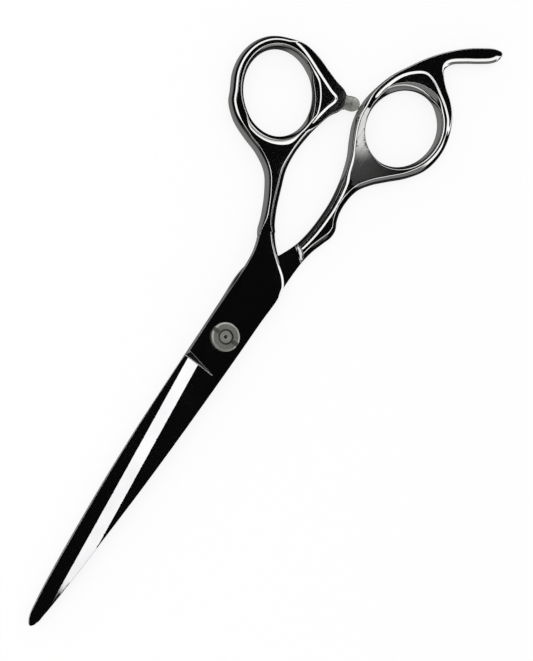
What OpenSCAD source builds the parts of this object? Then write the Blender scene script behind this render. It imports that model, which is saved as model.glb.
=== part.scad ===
// Hair cutting shears with an offset grip, a fixed finger rest and an adjustable pivot.
// The origin is on the pivot axis, in the plane of the rear blade's outer face.
// +X runs along the closed blades to the tip, +Z along the pivot from bolt head to nut.
// The thumb half is in front (upper), the finger half is behind (lower).

/* [Blades] */
// Thickness of each blade at the pivot
blade_t = 2.6; // [2.5:0.1:2.8]
// Gap between the two mating faces
blade_gap = 0.04; // [0.02:0.01:0.06]
// Distance from the pivot to the step where the outer grind begins
plunge_x = 8.1; // [7.8:0.1:8.8]
// Thickness of the cutting edge
edge_t = 0.12; // [0.1:0.02:0.2]
// Greatest depth of the hollow grind in the mating faces
hollow_depth = 0.14; // [0.08:0.02:0.2]

/* [Grips] */
// Width of the sloped side of the grips, seen from above
grip_bevel = 1.6; // [1.2:0.1:1.7]
// Half the length of the thumb hole
thumb_hole_l = 11.6; // [11.2:0.1:11.9]
// Half the width of the thumb hole
thumb_hole_w = 9.4; // [9:0.1:9.6]
// Half the length of the finger hole
finger_hole_l = 11.2; // [10.8:0.1:11.5]
// Half the width of the finger hole
finger_hole_w = 9.5; // [9.1:0.1:9.7]
// Thickness of the thumb ring around its round end
ring_wall = 3.6; // [3.3:0.1:3.8]

/* [Pivot] */
// Radius of the pivot bolt where the front blade turns
bolt_r = 2.2; // [2:0.1:2.3]
// Radius of the bolt head
head_r = 3.5; // [3.2:0.1:3.7]
// Radius of the tension nut
nut_r = 3.8; // [3.7:0.05:4.1]
// Height of the nut above the front blade
nut_h = 1.25; // [1.1:0.05:1.4]
// Width of the two key slots in the nut
slot_w = 1.1; // [0.7:0.1:1.3]

/* [Bumper] */
// Radius of the rubber bumper
bumper_r = 2.05; // [1.9:0.05:2.15]
// Radius of the bumper screw's shank
screw_r = 0.8; // [0.6:0.05:0.9]

/* [Hidden] */

round_fn = 96;
// Running clearance between round parts, on the radius
fit = 0.03;
// Overlap that keeps cutting tools clear of the faces they open
over = 1;

mid_z = blade_t + blade_gap / 2;
front_z = blade_t + blade_gap;
total_t = 2 * blade_t + blade_gap;

// Where each hardened blade is welded to its grip: a slanted shoulder
shoulder_x = -29.3;
shoulder_y = 5.1;
shoulder_angle = 37;

// Thumb ring and finger ring: semi-axes of the hole, its centre, and the direction of its long axis
thumb_hole = [thumb_hole_l, thumb_hole_w];
thumb_centre = [-62.1, -24.2];
thumb_turn = 36.5;
finger_hole = [finger_hole_l, finger_hole_w];
finger_centre = [-74.7, 8.7];
finger_turn = -10;

// Seat of the bumper on the thumb ring's boss, and the direction it faces
seat = [-71, -8.4];
seat_turn = 113;
bumper_gap = 0.05;
bumper_len = 4.67;

// Pivot stack, measured from the rear blade's outer face
head_t = 1;
neck_r = bolt_r + 0.25;
neck_flat = bolt_r + 0.02;
neck_top = 2.2;
glide_t = 0.28;
glide_r = 4.6;
recess_r = 3.45;
recess_t = 0.9;
bushing_wall = 0.5;
recess_floor = total_t - recess_t;
nut_under = total_t + 0.05;
nut_top = nut_under + nut_h;
thread_r = 1.75;
thread_z = total_t - 0.12;
bolt_top = nut_top - 0.12;

// ---- Outline control points, in the plane midway through the shears ----

thumb_edge = [[9, -5.7], [20, -5.6], [31, -5.4], [45, -4.85], [59, -4],
              [73, -2.95], [82, -2.05], [86.6, -1.25]];
thumb_spine = [[87.1, 0.95], [84, 1.4], [73, 2.3], [60, 3.1], [46, 3.95], [31, 4.65], [10, 5.35]];
thumb_flare = [[-1, 5.6], [-9, 5.75], [-16, 6.05], [-19.6, 5.8], [-22, 4.4], [-24.2, 2.1]];
thumb_shank_inner = [[-26.3, -0.2], [-28.6, -2.4], [-32, -4.8], [-36.4, -7.1], [-41.8, -9.2],
                     [-46.4, -10.8], [-51.4, -11.4], [-56.6, -11.1], [-61.3, -10.4]];
thumb_boss = [[-65.4, -9.3], [-68.8, -7.6], [-71.6, -7.6], [-73.4, -9.9], [-74.1, -13],
              [-75.2, -16.6], [-76.5, -20.6], [-77.1, -25.4]];
thumb_shank_outer = [[-52, -33.5], [-48.7, -29.6], [-46.7, -24.8], [-45.2, -20], [-42.5, -15.5],
                     [-38.2, -12.4], [-33, -9.8], [-28, -7.6], [-23.6, -6.2], [-18, -5.7]];
thumb_root = [[-8, -5.7], [1, -5.75]];

finger_edge = [[9, 5.6], [20, 5.3], [31, 4.95], [46, 4.25], [60, 3.4], [73, 2.45], [84, 1.5], [87, 0.9]];
finger_spine = [[86.7, -1.15], [82, -2], [73, -2.9], [59, -3.9], [45, -4.7], [31, -5.15], [10, -5.4]];
finger_flare = [[-1, -5.5], [-9, -5.6], [-16, -5.8], [-19.8, -5.2], [-22.4, -3.6], [-24.6, -1.5]];
finger_shank_inner = [[-26.4, 0.1], [-28.4, 1.1], [-31.8, 2.4], [-36.4, 3.3], [-41.4, 3.65],
                      [-46.4, 3.6], [-51, 3], [-55.4, 2], [-59.6, 0.6], [-63.4, -1.3],
                      [-67.3, -3], [-71, -3.85]];
finger_ring_inner = [[-75, -3.9], [-79.6, -3.1], [-84.8, -1.6], [-90, 1], [-95, 3.9]];
finger_rest = [[-99.3, 7.1], [-103.3, 10.8], [-106.5, 14.7], [-108.6, 18], [-108.9, 20.1],
               [-107.3, 20.7], [-105.3, 19.6], [-102.8, 16.7], [-100.2, 13.2], [-97.8, 10.5],
               [-95.4, 9.6], [-93.2, 10.5]];
finger_ring_outer = [[-91.2, 12.4], [-89, 15.3], [-86, 18.2], [-82.2, 20.4], [-78, 21.5],
                     [-73.6, 21.5], [-69, 20.3], [-64.4, 17.3], [-60.2, 13.3], [-56.8, 10.2]];
finger_shank_outer = [[-53.4, 8.1], [-49.8, 7.35], [-46.2, 7.4], [-43.4, 8.1], [-41.2, 9.1],
                      [-38.9, 9.15], [-36, 8.2], [-32.6, 7.1], [-29, 6.45], [-24, 6.15]];
finger_root = [[-16, 6.1], [-8, 5.9], [0, 5.75]];

// ---- Curves ----

function knot(a, b) = sqrt(norm(b - a));
function mix(a, b, t) = a * (1 - t) + b * t;

// One point of a centripetal Catmull-Rom curve between b and c
function curve_point(a, b, c, d, t) =
    let (k1 = knot(a, b))
    let (k2 = k1 + knot(b, c))
    let (k3 = k2 + knot(c, d))
    let (s = mix(k1, k2, t))
    let (ab = mix(a, b, s / k1))
    let (bc = mix(b, c, (s - k1) / (k2 - k1)))
    let (cd = mix(c, d, (s - k2) / (k3 - k2)))
    let (abc = mix(ab, bc, s / k2))
    let (bcd = mix(bc, cd, (s - k1) / (k3 - k1)))
    mix(abc, bcd, (s - k1) / (k2 - k1));

// Closed curve through all the points, with n steps between neighbours
function smooth_loop(p, n) = [
    for (i = [0 : len(p) - 1])
    for (k = [0 : n - 1])
    let (m = len(p))
    curve_point(p[(i + m - 1) % m], p[i], p[(i + 1) % m], p[(i + 2) % m], k / n)
];

function reversed(p) = [for (i = [len(p) - 1 : -1 : 0]) p[i]];
function flipped(p) = [for (q = p) [q[0], -q[1]]];
function smooth_step(t) = let (u = max(0, min(1, t))) u * u * (3 - 2 * u);

function ellipse_point(centre, axes, turn, a) =
    centre + [axes[0] * cos(a) * cos(turn) - axes[1] * sin(a) * sin(turn),
              axes[0] * cos(a) * sin(turn) + axes[1] * sin(a) * cos(turn)];

// Inward unit normal of a clockwise loop at point i
function inward(p, i) =
    let (m = len(p))
    let (along = p[(i + 1) % m] - p[(i + m - 1) % m])
    [along[1], -along[0]] / norm(along);

// The sloped sides grow from the flat pivot area towards the rings, and narrow again on the finger rest
function bevel_at(x) =
    mix(0.3, grip_bevel, smooth_step((-22 - x) / 22)) * mix(1, 0.55, smooth_step((-94 - x) / 12));
function inset_loop(p, amount) = [
    for (i = [0 : len(p) - 1])
    p[i] + inward(p, i) * amount * bevel_at(p[i][0])
];

// Round end of the thumb ring, from the outer shank to the boss
thumb_arc = [
    for (a = [168 : 20 : 268])
    ellipse_point(thumb_centre, thumb_hole + [ring_wall, ring_wall], thumb_turn, a)
];
tip = [[88.3, 0]];

steps = 3;
thumb_loop = smooth_loop(concat(reversed(thumb_edge), reversed(thumb_root), reversed(thumb_shank_outer),
                                reversed(thumb_arc), reversed(thumb_boss),
                                reversed(thumb_shank_inner), reversed(thumb_flare),
                                reversed(thumb_spine), tip), steps);
finger_loop = smooth_loop(concat(finger_spine, finger_flare, finger_shank_inner, finger_ring_inner,
                                 finger_rest, finger_ring_outer, finger_shank_outer, finger_root,
                                 finger_edge, tip), steps);

// ---- Shared solids ----

// Skin through rows of equal length, lowest first; each row is [z, points], clockwise from above
module skin(rows) {
    m = len(rows[0][1]);
    last = len(rows) - 1;
    points = [for (r = rows) for (p = r[1]) [p[0], p[1], r[0]]];
    walls = [
        for (j = [0 : last - 1])
        for (i = [0 : m - 1])
        [j * m + i, j * m + (i + 1) % m, (j + 1) * m + (i + 1) % m, (j + 1) * m + i]
    ];
    floor_face = [for (i = [m - 1 : -1 : 0]) i];
    roof_face = [for (i = [0 : m - 1]) last * m + i];
    polyhedron(points, concat(walls, [floor_face, roof_face]), convexity = 10);
}

// Grip section: full width at mid height, sloping to a flat land on both faces
shelf_z = 0.75;
shelf_share = 0.4;

module grip_solid(loop) {
    skin([
        [0, inset_loop(loop, 1)],
        [shelf_z, inset_loop(loop, shelf_share)],
        [mid_z, loop],
        [total_t - shelf_z, inset_loop(loop, shelf_share)],
        [total_t, inset_loop(loop, 1)]
    ]);
}

// Ring hole: narrowest at mid height, flaring to both faces
hole_steps = 48;

module ring_hole(centre, axes, turn) {
    function row(grow) = [
        for (i = [hole_steps - 1 : -1 : 0])
        ellipse_point(centre, axes + [grow, grow], turn, i * 360 / hole_steps)
    ];
    skin([
        [-over, row(grip_bevel)],
        [0, row(grip_bevel)],
        [shelf_z, row(grip_bevel * shelf_share)],
        [mid_z, row(0)],
        [total_t - shelf_z, row(grip_bevel * shelf_share)],
        [total_t, row(grip_bevel)],
        [total_t + over, row(grip_bevel)]
    ]);
}

// Half space on the tip side of the slanted shoulder; side is -1 for the thumb half
module tip_side(side) {
    reach = 150;
    translate([shoulder_x, side * shoulder_y, -reach / 2])
    rotate([0, 0, -side * shoulder_angle])
    translate([0, -reach, 0])
    cube([reach, 2 * reach, reach]);
}

// ---- Ground blade, with its mating face at z = 0 and its cutting edge towards -Y ----

// The outer grind is turned about this line, which runs under the blade
grind_start = [plunge_x + 1.1, 4.4, -19.4];
grind_end = [86, 1.5, -3.85];
grind_dir = (grind_end - grind_start) / norm(grind_end - grind_start);
grind_tilt = acos(grind_dir[2]);
grind_turn = atan2(grind_dir[1], grind_dir[0]);
// How far the step slants towards the tip for each millimetre of width
plunge_slant = 0.222;

// The turned radius follows the cutting edge, so the edge has the same thickness throughout.
// Its rows lie a little past the outline's own corners, which keeps the corners clean.
module outer_grind(edge) {
    last = len(edge) - 1;
    past = [for (i = [0 : last]) edge[i] + 0.12 * (edge[min(i + 1, last)] - edge[min(i, last - 1)])];
    rays = [for (p = past) [p[0], p[1], edge_t] - grind_start];
    along = [for (r = rays) r * grind_dir];
    out = [for (i = [0 : last]) norm(rays[i] - along[i] * grind_dir)];
    profile = concat(
        [[0, along[0] - 10], [out[0], along[0] - 10]],
        [for (i = [0 : last]) [out[i], along[i]]],
        [[out[last] - 1, along[last] + 5], [0, along[last] + 5]]
    );
    translate(grind_start)
    rotate([0, grind_tilt, grind_turn])
    rotate_extrude($fn = round_fn)
    polygon(profile);
}

// Everything on the handle side of the step where the grind begins
module root_block() {
    reach = 40;
    linear_extrude(height = blade_t)
    polygon([[-reach, -reach], [plunge_x - plunge_slant * (reach - 5.8), -reach],
             [plunge_x + plunge_slant * (reach + 5.8), reach], [-reach, reach]]);
}

// Shallow hollow in the mating face, deepest near the pivot and fading out at the tip
hollow_r = 60;
hollow_x = 14;
hollow_len = 72;

module hollow_grind() {
    fade = atan((hollow_depth - 0.02) / hollow_len);
    translate([hollow_x, -0.6, hollow_depth - hollow_r])
    rotate([0, 90 + fade, 0])
    cylinder(h = hollow_len, r = hollow_r, $fn = round_fn);
}

module ground_blade(loop, edge) {
    difference() {
        intersection() {
            linear_extrude(height = blade_t)
            polygon(loop);
            union() {
                root_block();
                outer_grind(edge);
            }
        }
        hollow_grind();
    }
}

// ---- Sub-parts ----

steel = [0.62, 0.63, 0.64];
cast_steel = [0.5, 0.51, 0.52];

module thumb_blade() {
    color(steel)
    difference() {
        intersection() {
            translate([0, 0, front_z])
            ground_blade(thumb_loop, thumb_edge);
            tip_side(-1);
        }
        cylinder(h = total_t + over, r = bolt_r + bushing_wall + 2 * fit, $fn = round_fn);
        translate([0, 0, recess_floor])
        cylinder(h = recess_t + over, r = recess_r, $fn = round_fn);
    }
}

module finger_blade() {
    color(steel)
    difference() {
        intersection() {
            translate([0, 0, blade_t])
            rotate([180, 0, 0])
            ground_blade(flipped(finger_loop), flipped(finger_edge));
            tip_side(1);
        }
        translate([0, 0, -over])
        cylinder(h = head_t + over, r = head_r + fit, $fn = round_fn);
        neck(fit, over);
        translate([0, 0, blade_t - glide_t])
        cylinder(h = glide_t + over, r = glide_r + fit, $fn = round_fn);
    }
}

// Boss seat, screw hole and screw head recess share this axis; z runs out of the seat
module on_seat() {
    translate([seat[0], seat[1], mid_z])
    rotate([90, 0, seat_turn + 90])
    children();
}

screw_head_r = 1.3;
boss_len = 8.2;
head_depth = 1.3;

module thumb_handle() {
    color(cast_steel)
    difference() {
        resize([0, 0, 0])
        difference() {
            grip_solid(thumb_loop);
            ring_hole(thumb_centre, thumb_hole, thumb_turn);
            tip_side(-1);
            on_seat()
            translate([-5, -5, 0])
            cube(10);
        }
        on_seat()
        rotate([0, 0, 5])
        rotate_extrude($fn = round_fn)
        polygon([[0, -boss_len - over], [screw_head_r + fit, -boss_len - over],
                 [screw_head_r + fit, head_depth - boss_len], [screw_r + fit, head_depth - boss_len],
                 [screw_r + fit, over], [0, over]]);
    }
}

module finger_handle() {
    color(cast_steel)
    resize([0, 0, 0])
    difference() {
        grip_solid(finger_loop);
        ring_hole(finger_centre, finger_hole, finger_turn);
        tip_side(1);
    }
}

// Bolt neck with two flats that keep the bolt from turning in the rear blade
module neck(grow, extra) {
    intersection() {
        cylinder(h = neck_top + extra, r = neck_r + grow, $fn = round_fn);
        translate([-neck_flat - grow, -neck_r - grow - over, -over])
        cube([2 * (neck_flat + grow), 2 * (neck_r + grow + over), neck_top + extra + 2 * over]);
    }
}

module pivot_bolt() {
    dimple_r = 0.65;
    end_chamfer = 0.3;
    color([0.7, 0.7, 0.7])
    difference() {
        union() {
            cylinder(h = head_t - fit, r = head_r, $fn = round_fn);
            neck(0, 0);
            translate([0, 0, neck_top - 0.1])
            cylinder(h = thread_z - neck_top + 0.1, r = bolt_r, $fn = round_fn);
            translate([0, 0, thread_z - 0.1])
            cylinder(h = bolt_top - end_chamfer - thread_z + 0.1, r = thread_r, $fn = round_fn);
            translate([0, 0, bolt_top - end_chamfer])
            cylinder(h = end_chamfer, r1 = thread_r, r2 = thread_r - end_chamfer, $fn = round_fn);
        }
        translate([0, 0, bolt_top - dimple_r])
        cylinder(h = dimple_r + 0.01, r1 = 0.02, r2 = dimple_r, $fn = round_fn);
    }
}

// Round washer or sleeve standing on z
module collar(z, h, r_in, r_out) {
    translate([0, 0, z])
    difference() {
        cylinder(h = h, r = r_out, $fn = round_fn);
        translate([0, 0, -over])
        cylinder(h = h + 2 * over, r = r_in, $fn = round_fn);
    }
}

module pivot_bushing() {
    color([0.93, 0.93, 0.9])
    collar(front_z + fit, recess_floor - front_z - 2 * fit, bolt_r + fit, bolt_r + fit + bushing_wall);
}

module glide_washer() {
    color([0.95, 0.95, 0.93])
    collar(blade_t - glide_t + 0.01, glide_t, neck_r + 2 * fit, glide_r);
}

thrust_t = 0.3;
washer_in = bolt_r + 0.05;

module thrust_washer() {
    color([0.75, 0.6, 0.35])
    collar(recess_floor + 0.01, thrust_t, washer_in, recess_r - 0.1);
}

// Spring washer with three waves
wave_t = 0.2;
wave_steps = 72;

module wave_washer() {
    low_z = recess_floor + thrust_t + 0.03;
    room = nut_under - 0.02 - low_z;
    swing = (room - wave_t) / 2;
    function corner(r, a, lift) = [r * cos(a), r * sin(a), low_z + swing * (1 - cos(3 * a)) + lift];
    inner = washer_in + 0.05;
    outer = recess_r - 0.25;
    points = [
        for (i = [0 : wave_steps - 1])
        let (a = i * 360 / wave_steps)
        each [corner(inner, a, 0), corner(outer, a, 0), corner(outer, a, wave_t), corner(inner, a, wave_t)]
    ];
    function around(i, k) = (i % wave_steps) * 4 + k % 4;
    faces = [
        for (i = [0 : wave_steps - 1])
        for (k = [0 : 3])
        each [[around(i, k), around(i, k + 1), around(i + 1, k + 1)],
              [around(i, k), around(i + 1, k + 1), around(i + 1, k)]]
    ];
    color([0.35, 0.36, 0.38])
    polyhedron(points, faces, convexity = 6);
}

module tension_nut() {
    nut_chamfer = 0.45;
    slot_in = 2.1;
    slot_depth = 0.6;
    color([0.6, 0.6, 0.57])
    difference() {
        union() {
            translate([0, 0, nut_under])
            cylinder(h = nut_h - nut_chamfer, r = nut_r, $fn = round_fn);
            translate([0, 0, nut_top - nut_chamfer])
            cylinder(h = nut_chamfer, r1 = nut_r, r2 = nut_r - nut_chamfer, $fn = round_fn);
        }
        translate([0, 0, nut_under - over])
        cylinder(h = nut_h + 2 * over, r = thread_r + fit, $fn = round_fn);
        for (side = [0, 180])
            rotate([0, 0, side + 90])
            translate([slot_in, -slot_w / 2, nut_top - slot_depth])
            cube([nut_r, slot_w, slot_depth + over]);
    }
}

// Rubber dome with a short straight collar at the seat
module bumper() {
    dome_h = 2.2;
    bore_len = 2.6;
    straight = bumper_len - dome_h - bumper_gap;
    dome = [for (a = [0 : 15 : 90]) [bumper_r * cos(a), straight + dome_h * sin(a)]];
    color([0.75, 0.75, 0.72])
    on_seat()
    rotate_extrude($fn = round_fn)
    polygon(concat([[screw_r + fit, 0.02], [bumper_r, 0.02]], dome,
                   [[0, bore_len], [screw_r + fit, bore_len]]));
}

module bumper_screw() {
    head_t = 0.8;
    tip_out = 2.3;
    color([0.55, 0.55, 0.55])
    on_seat()
    difference() {
        union() {
            translate([0, 0, -boss_len + head_depth - head_t - fit])
            cylinder(h = head_t, r = screw_head_r, $fn = round_fn);
            translate([0, 0, -boss_len + head_depth - fit - 0.1])
            cylinder(h = boss_len - head_depth + tip_out + 0.1, r = screw_r, $fn = round_fn);
        }
        translate([-0.2, -2 * screw_head_r, -boss_len + head_depth - head_t - fit - over])
        cube([0.4, 4 * screw_head_r, over + 0.35]);
    }
}

thumb_blade();
thumb_handle();
finger_blade();
finger_handle();
pivot_bolt();
pivot_bushing();
glide_washer();
thrust_washer();
wave_washer();
tension_nut();
bumper();
bumper_screw();
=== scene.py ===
import math

import bpy
import numpy as np
from mathutils import Matrix, Vector
from mathutils.geometry import delaunay_2d_cdt
from mathutils.kdtree import KDTree


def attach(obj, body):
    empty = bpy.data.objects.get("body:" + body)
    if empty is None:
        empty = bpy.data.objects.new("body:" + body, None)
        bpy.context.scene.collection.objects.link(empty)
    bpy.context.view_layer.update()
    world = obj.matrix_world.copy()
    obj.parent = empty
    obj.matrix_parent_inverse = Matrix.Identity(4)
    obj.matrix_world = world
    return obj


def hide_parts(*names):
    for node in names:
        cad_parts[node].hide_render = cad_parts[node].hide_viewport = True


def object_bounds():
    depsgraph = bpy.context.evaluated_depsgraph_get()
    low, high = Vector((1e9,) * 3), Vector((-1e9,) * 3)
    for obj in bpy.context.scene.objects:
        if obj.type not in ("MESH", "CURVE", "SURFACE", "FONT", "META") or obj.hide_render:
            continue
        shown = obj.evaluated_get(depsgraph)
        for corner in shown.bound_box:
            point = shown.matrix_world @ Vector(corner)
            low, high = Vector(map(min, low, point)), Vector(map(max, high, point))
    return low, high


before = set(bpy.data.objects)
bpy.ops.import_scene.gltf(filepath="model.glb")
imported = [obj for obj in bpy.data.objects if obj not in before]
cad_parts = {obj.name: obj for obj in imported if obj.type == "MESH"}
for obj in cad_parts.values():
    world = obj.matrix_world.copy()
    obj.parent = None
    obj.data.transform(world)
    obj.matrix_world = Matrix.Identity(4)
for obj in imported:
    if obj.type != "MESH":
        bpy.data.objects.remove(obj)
cad_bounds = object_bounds()

MM = 0.001
# Heights in mm: middle plane, front blade's mating face, one blade's thickness, front face
MID = 2.62
FRONT = 2.64
BLADE = 2.6
TOTAL = 5.24
EDGE_T = 0.12
# Spacing of the points along an outline, and the width of the ring round the thumb hole
STEP = 0.3
RING_WALL = 3.6
# Offset used to take a gradient by differences
NUDGE = 0.004

# ---------------------------------------------------------------- outlines, in mm, same as the part's
thumb_edge = [[9, -5.7], [20, -5.6], [31, -5.4], [45, -4.85], [59, -4], [73, -2.95], [82, -2.05],
              [86.6, -1.25]]
thumb_spine = [[87.1, 0.95], [84, 1.4], [73, 2.3], [60, 3.1], [46, 3.95], [31, 4.65], [10, 5.35]]
thumb_flare = [[-1, 5.6], [-9, 5.75], [-16, 6.05], [-19.6, 5.8], [-22, 4.4], [-24.2, 2.1]]
thumb_shank_inner = [[-26.3, -0.2], [-28.6, -2.4], [-32, -4.8], [-36.4, -7.1], [-41.8, -9.2],
                     [-46.4, -10.8], [-51.4, -11.4], [-56.6, -11.1], [-61.3, -10.4]]
thumb_boss = [[-65.4, -9.3], [-68.8, -7.6], [-71.6, -7.6], [-73.4, -9.9], [-74.1, -13],
              [-75.2, -16.6], [-76.5, -20.6], [-77.1, -25.4]]
thumb_shank_outer = [[-52, -33.5], [-48.7, -29.6], [-46.7, -24.8], [-45.2, -20], [-42.5, -15.5],
                     [-38.2, -12.4], [-33, -9.8], [-28, -7.6], [-23.6, -6.2], [-18, -5.7]]
thumb_root = [[-8, -5.7], [1, -5.75]]
finger_edge = [[9, 5.6], [20, 5.3], [31, 4.95], [46, 4.25], [60, 3.4], [73, 2.45], [84, 1.5], [87, 0.9]]
finger_spine = [[86.7, -1.15], [82, -2], [73, -2.9], [59, -3.9], [45, -4.7], [31, -5.15], [10, -5.4]]
finger_flare = [[-1, -5.5], [-9, -5.6], [-16, -5.8], [-19.8, -5.2], [-22.4, -3.6], [-24.6, -1.5]]
finger_shank_inner = [[-26.4, 0.1], [-28.4, 1.1], [-31.8, 2.4], [-36.4, 3.3], [-41.4, 3.65],
                      [-46.4, 3.6], [-51, 3], [-55.4, 2], [-59.6, 0.6], [-63.4, -1.3],
                      [-67.3, -3], [-71, -3.85]]
finger_ring_inner = [[-75, -3.9], [-79.6, -3.1], [-84.8, -1.6], [-90, 1], [-95, 3.9]]
finger_rest = [[-99.3, 7.1], [-103.3, 10.8], [-106.5, 14.7], [-108.6, 18], [-108.9, 20.1],
               [-107.3, 20.7], [-105.3, 19.6], [-102.8, 16.7], [-100.2, 13.2], [-97.8, 10.5],
               [-95.4, 9.6], [-93.2, 10.5]]
finger_ring_outer = [[-91.2, 12.4], [-89, 15.3], [-86, 18.2], [-82.2, 20.4], [-78, 21.5],
                     [-73.6, 21.5], [-69, 20.3], [-64.4, 17.3], [-60.2, 13.3], [-56.8, 10.2]]
finger_shank_outer = [[-53.4, 8.1], [-49.8, 7.35], [-46.2, 7.4], [-43.4, 8.1], [-41.2, 9.1],
                      [-38.9, 9.15], [-36, 8.2], [-32.6, 7.1], [-29, 6.45], [-24, 6.15]]
finger_root = [[-16, 6.1], [-8, 5.9], [0, 5.75]]
tip = [[88.3, 0]]
THUMB_HOLE = ((-62.1, -24.2), (11.6, 9.4), 36.5)
FINGER_HOLE = ((-74.7, 8.7), (11.2, 9.5), -10.0)
SEAT = np.array([-71.0, -8.4])
SEAT_TURN = math.radians(113)
SEAT_DIR = np.array([math.cos(SEAT_TURN), math.sin(SEAT_TURN)])
# Where each blade is welded to its grip, by side: -1 the thumb half, 1 the finger half
WELD = {-1: (np.array([-29.3, -5.1]), math.radians(37)),
        1: (np.array([-29.3, 5.1]), math.radians(-37))}


def weld_normal(side):
    """Unit normal of the slanted shoulder, pointing to the tip."""
    a = WELD[side][1]
    return np.array([math.cos(a), math.sin(a)])


def ellipse(hole, grow, angles):
    """Points of a hole's oval at the given angles, with both semi-axes longer by grow."""
    (cx, cy), (a, b), turn = hole
    t = math.radians(turn)
    c, s = np.cos(angles), np.sin(angles)
    return np.stack([cx + (a + grow) * c * math.cos(t) - (b + grow) * s * math.sin(t),
                     cy + (a + grow) * c * math.sin(t) + (b + grow) * s * math.cos(t)], 1)


def smooth_loop(points, spacing):
    """Closed centripetal curve through the points, resampled to even steps."""
    p = np.array(points, float)
    m = len(p)
    out = []
    for i in range(m):
        a, b, c, d = p[i - 1], p[i], p[(i + 1) % m], p[(i + 2) % m]
        k1 = math.sqrt(np.linalg.norm(b - a))
        k2 = k1 + math.sqrt(np.linalg.norm(c - b))
        k3 = k2 + math.sqrt(np.linalg.norm(d - c))
        n = max(3, int(math.ceil(np.linalg.norm(c - b) / spacing)))
        for t in np.arange(n) / n:
            s = k1 + (k2 - k1) * t
            ab = a + (b - a) * s / k1
            bc = b + (c - b) * (s - k1) / (k2 - k1)
            cd = c + (d - c) * (s - k2) / (k3 - k2)
            abc = ab + (bc - ab) * s / k2
            bcd = bc + (cd - bc) * (s - k1) / (k3 - k1)
            out.append(abc + (bcd - abc) * (s - k1) / (k2 - k1))
    return np.array(out)


def rev(p):
    return list(reversed(p))


thumb_arc = ellipse(THUMB_HOLE, RING_WALL, np.radians(np.arange(168, 269, 20))).tolist()
thumb_loop = smooth_loop(rev(thumb_edge) + rev(thumb_root) + rev(thumb_shank_outer) + rev(thumb_arc)
                         + rev(thumb_boss) + rev(thumb_shank_inner) + rev(thumb_flare)
                         + rev(thumb_spine) + tip, STEP)
finger_loop = smooth_loop(finger_spine + finger_flare + finger_shank_inner + finger_ring_inner
                          + finger_rest + finger_ring_outer + finger_shank_outer + finger_root
                          + finger_edge + tip, STEP)


# ---------------------------------------------------------------- plane geometry
def inside(points, loop, block=4000):
    """Even-odd test of each point against a closed loop, a block of points at a time."""
    hit = np.zeros(len(points), bool)
    a, b = loop[None], np.roll(loop, -1, 0)[None]
    ax, ay, bx, by = a[..., 0], a[..., 1], b[..., 0], b[..., 1]
    for s in range(0, len(points), block):
        px, py = points[s:s + block, 0, None], points[s:s + block, 1, None]
        cross = (ay > py) != (by > py)
        with np.errstate(divide="ignore", invalid="ignore"):
            at = ax + (py - ay) * (bx - ax) / (by - ay)
        hit[s:s + block] = (np.sum(cross & (px < at), 1) % 2).astype(bool)
    return hit


def clip(loop, origin, normal):
    """The part of a closed loop on the negative side of a line."""
    d = (loop - origin) @ normal
    out = []
    for i in range(len(loop)):
        j = (i + 1) % len(loop)
        if d[i] <= 0:
            out.append(loop[i])
        if (d[i] <= 0) != (d[j] <= 0):
            out.append(loop[i] + (loop[j] - loop[i]) * d[i] / (d[i] - d[j]))
    return np.array(out)


def densify(loop, step):
    """The same closed loop with points no further apart than step."""
    out = []
    for a, b in zip(loop, np.roll(loop, -1, 0)):
        n = max(1, int(math.ceil(np.linalg.norm(b - a) / step)))
        out += [a + (b - a) * k / n for k in range(n)]
    return np.array(out)


def mix(a, b, t):
    """Blend from a to b as t goes from 0 to 1."""
    return a + (b - a) * t


def smooth(x, lo, hi):
    """Soft ramp from 0 at lo to 1 at hi."""
    t = np.clip((x - lo) / (hi - lo), 0, 1)
    return t * t * (3 - 2 * t)


class Rim:
    """One edge of the object seen from above, with the shape of the slope that rises from it.

    wide is the width of the slope, drop its height, power how round it is; each is a number or
    a function of the rim's points.
    """

    def __init__(self, loop, wide, drop, power, outward=False):
        self.p = loop
        self.q = np.roll(loop, -1, 0)
        along = np.roll(loop, -1, 0) - np.roll(loop, 1, 0)
        n = np.stack([along[:, 1], -along[:, 0]], 1)
        n /= np.linalg.norm(n, axis=1)[:, None] + 1e-12
        self.n = -n if outward else n
        self.wide, self.drop, self.power = (
            v(loop) if callable(v) else np.full(len(loop), float(v)) for v in (wide, drop, power))
        self.tree = KDTree(len(loop))
        for i, (x, y) in enumerate(loop):
            self.tree.insert((x, y, 0), i)
        self.tree.balance()

    def near(self, points):
        """Distance to the rim, inward direction, and the slope's shape there, for each point."""
        m = len(self.p)
        k0 = np.array([self.tree.find((x, y, 0))[1] for x, y in points], int)
        best = None
        for k in (k0, (k0 - 1) % m):
            a, ab = self.p[k], self.q[k] - self.p[k]
            t = np.clip(((points - a) * ab).sum(1) / np.maximum((ab * ab).sum(1), 1e-12), 0, 1)
            d = np.linalg.norm(points - a - ab * t[:, None], axis=1)
            if best is None:
                best = [d, k, t]
            else:
                closer = d < best[0]
                best = [np.where(closer, x, y) for x, y in zip((d, k, t), best)]
        dist, k_at, t_at = best
        j = (k_at + 1) % m
        t = t_at[:, None]
        way = self.n[k_at] * (1 - t) + self.n[j] * t
        way /= np.linalg.norm(way, axis=1)[:, None] + 1e-12
        shape = [v[k_at] * (1 - t_at) + v[j] * t_at for v in (self.wide, self.drop, self.power)]
        return dist, way, *shape


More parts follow.
